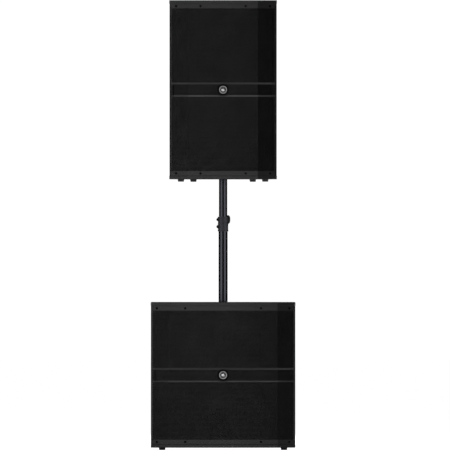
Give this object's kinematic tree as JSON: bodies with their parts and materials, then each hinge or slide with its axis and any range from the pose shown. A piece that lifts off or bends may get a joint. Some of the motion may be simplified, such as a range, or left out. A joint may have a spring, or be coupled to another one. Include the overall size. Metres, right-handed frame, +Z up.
{
  "type": "pa speaker",
  "caption": "Powered loudspeaker set: a full-range head box on a height-adjustable mast over a subwoofer, both with bowed perforated grilles.",
  "frame": {"origin": "on the floor under the middle of the subwoofer", "axes": "+Z up, -Y towards the listener (grille side), +X to the right seen from the front"},
  "size_m": [0.608, 0.64, 1.889],
  "materials": {
    "cabinet_paint": "textured black paint on plywood",
    "raw_board": "black stained plywood",
    "moulded_black": "black moulded plastic",
    "foot_rubber": "black rubber",
    "grille_steel": "black powder coat on perforated steel",
    "foam_black": "black open-cell acoustic foam",
    "trim_paint": "satin black moulding",
    "black_steel": "black oxide steel",
    "badge_metal": "brushed aluminium with a dark ring",
    "cast_frame": "black painted die casting",
    "magnet_iron": "ferrite and plated steel",
    "cone_paper": "coated paper",
    "suspension_cloth": "doped cloth",
    "plate_paint": "textured black powder coat",
    "heatsink_black": "black anodised aluminium",
    "board_green": "green circuit board",
    "socket_black": "black moulded connector",
    "knob_black": "soft black plastic",
    "button_grey": "grey plastic",
    "fitting_steel": "zinc plated steel",
    "mast_paint": "dark grey-blue satin powder coat",
    "bolt_steel": "black zinc plated steel"
  },
  "bodies": {
    "root": {"sub_top_panel": "cabinet_paint", "sub_bottom_panel": "cabinet_paint", "sub_side_panels": "cabinet_paint", "sub_back_panel": "cabinet_paint", "sub_baffle": "raw_board", "sub_ports": "moulded_black", "sub_feet": "foot_rubber", "sub_grille": "grille_steel", "sub_grille_foam": "foam_black", "sub_trim_rails": "trim_paint", "sub_trim_screws": "black_steel", "sub_badge": "badge_metal", "sub_handles": "moulded_black", "sub_pole_socket": "fitting_steel", "sub_woofer_frame": "cast_frame", "sub_woofer_magnet": "magnet_iron", "sub_woofer_suspension": "suspension_cloth", "sub_amp_plate": "plate_paint", "sub_amp_heatsink": "heatsink_black", "sub_amp_board": "board_green", "sub_rear_sockets": "socket_black", "mast_base_plug": "fitting_steel", "mast_lower_tube": "mast_paint", "mast_collar": "mast_paint", "mast_clamp_bolts": "bolt_steel"},
    "upper_mast": {"mast_upper_tube": "mast_paint"},
    "head_box": {"head_top_panel": "cabinet_paint", "head_bottom_panel": "cabinet_paint", "head_side_panels": "cabinet_paint", "head_back_panel": "cabinet_paint", "head_baffle": "raw_board", "head_ports": "moulded_black", "head_feet": "foot_rubber", "head_grille": "grille_steel", "head_grille_foam": "foam_black", "head_trim_rails": "trim_paint", "head_trim_screws": "black_steel", "head_badge": "badge_metal", "head_handles": "moulded_black", "head_pole_cup": "fitting_steel", "head_woofer_frame": "cast_frame", "head_woofer_magnet": "magnet_iron", "head_woofer_suspension": "suspension_cloth", "head_horn": "moulded_black", "head_hf_driver": "magnet_iron", "head_amp_plate": "plate_paint", "head_amp_heatsink": "heatsink_black", "head_amp_board": "board_green", "head_rear_sockets": "socket_black", "head_rigging_inserts": "fitting_steel"},
    "clamp_knob": {"mast_clamp_knob": "knob_black"},
    "sub_cone": {"sub_woofer_cone": "cone_paper"},
    "head_cone": {"head_woofer_cone": "cone_paper"},
    "sub_power": {"sub_power_switch": "socket_black"},
    "sub_level": {"sub_level_knob": "knob_black"},
    "sub_polarity": {"sub_polarity_button": "button_grey"},
    "head_power": {"head_power_switch": "socket_black"},
    "head_level_1": {"head_level_knob_1": "knob_black"},
    "head_level_2": {"head_level_knob_2": "knob_black"},
    "head_menu": {"head_menu_dial": "knob_black"}
  },
  "joints": [
    {"name": "mast_height", "type": "slide", "parent": "root", "child": "upper_mast", "axis": [0, 0, 1], "range_m": [-0.12, 0.1]},
    {"name": "head_swivel", "type": "hinge", "parent": "upper_mast", "child": "head_box", "pos_m": [0, -0.07, 1.18], "axis": [0, 0, 1], "continuous": true},
    {"name": "clamp_knob_turn", "type": "hinge", "parent": "root", "child": "clamp_knob", "pos_m": [0.023, -0.036, 0.968], "axis": [1, 0, 0], "range_deg": [-360, 0]},
    {"name": "sub_cone_travel", "type": "slide", "parent": "root", "child": "sub_cone", "axis": [0, -1, 0], "range_m": [-0.008, 0.008], "stiffness_N_per_m": 14500, "deforming": ["sub_woofer_suspension"]},
    {"name": "head_cone_travel", "type": "slide", "parent": "head_box", "child": "head_cone", "axis": [0, -1, 0], "range_m": [-0.005, 0.005], "stiffness_N_per_m": 9900, "deforming": ["head_woofer_suspension"]},
    {"name": "sub_power_rock", "type": "hinge", "parent": "root", "child": "sub_power", "pos_m": [0.11, 0.3095, 0.23], "axis": [1, 0, 0], "range_deg": [0, 12]},
    {"name": "sub_level_turn", "type": "hinge", "parent": "root", "child": "sub_level", "pos_m": [0.04, 0.311, 0.315], "axis": [0, 1, 0], "range_deg": [-150, 150]},
    {"name": "sub_polarity_press", "type": "slide", "parent": "root", "child": "sub_polarity", "axis": [0, -1, 0], "range_m": [0, 0.002], "stiffness_N_per_m": 800, "springref_m": -0.0015},
    {"name": "head_power_rock", "type": "hinge", "parent": "head_box", "child": "head_power", "pos_m": [-0.05, 0.1145, 1.327], "axis": [1, 0, 0], "range_deg": [0, 12]},
    {"name": "head_level_1_turn", "type": "hinge", "parent": "head_box", "child": "head_level_1", "pos_m": [-0.08, 0.116, 1.482], "axis": [0, 1, 0], "range_deg": [-150, 150]},
    {"name": "head_level_2_turn", "type": "hinge", "parent": "head_box", "child": "head_level_2", "pos_m": [-0.03, 0.116, 1.482], "axis": [0, 1, 0], "range_deg": [-150, 150]},
    {"name": "head_menu_turn", "type": "hinge", "parent": "head_box", "child": "head_menu", "pos_m": [0.06, 0.116, 1.482], "axis": [0, 1, 0], "continuous": true}
  ]
}
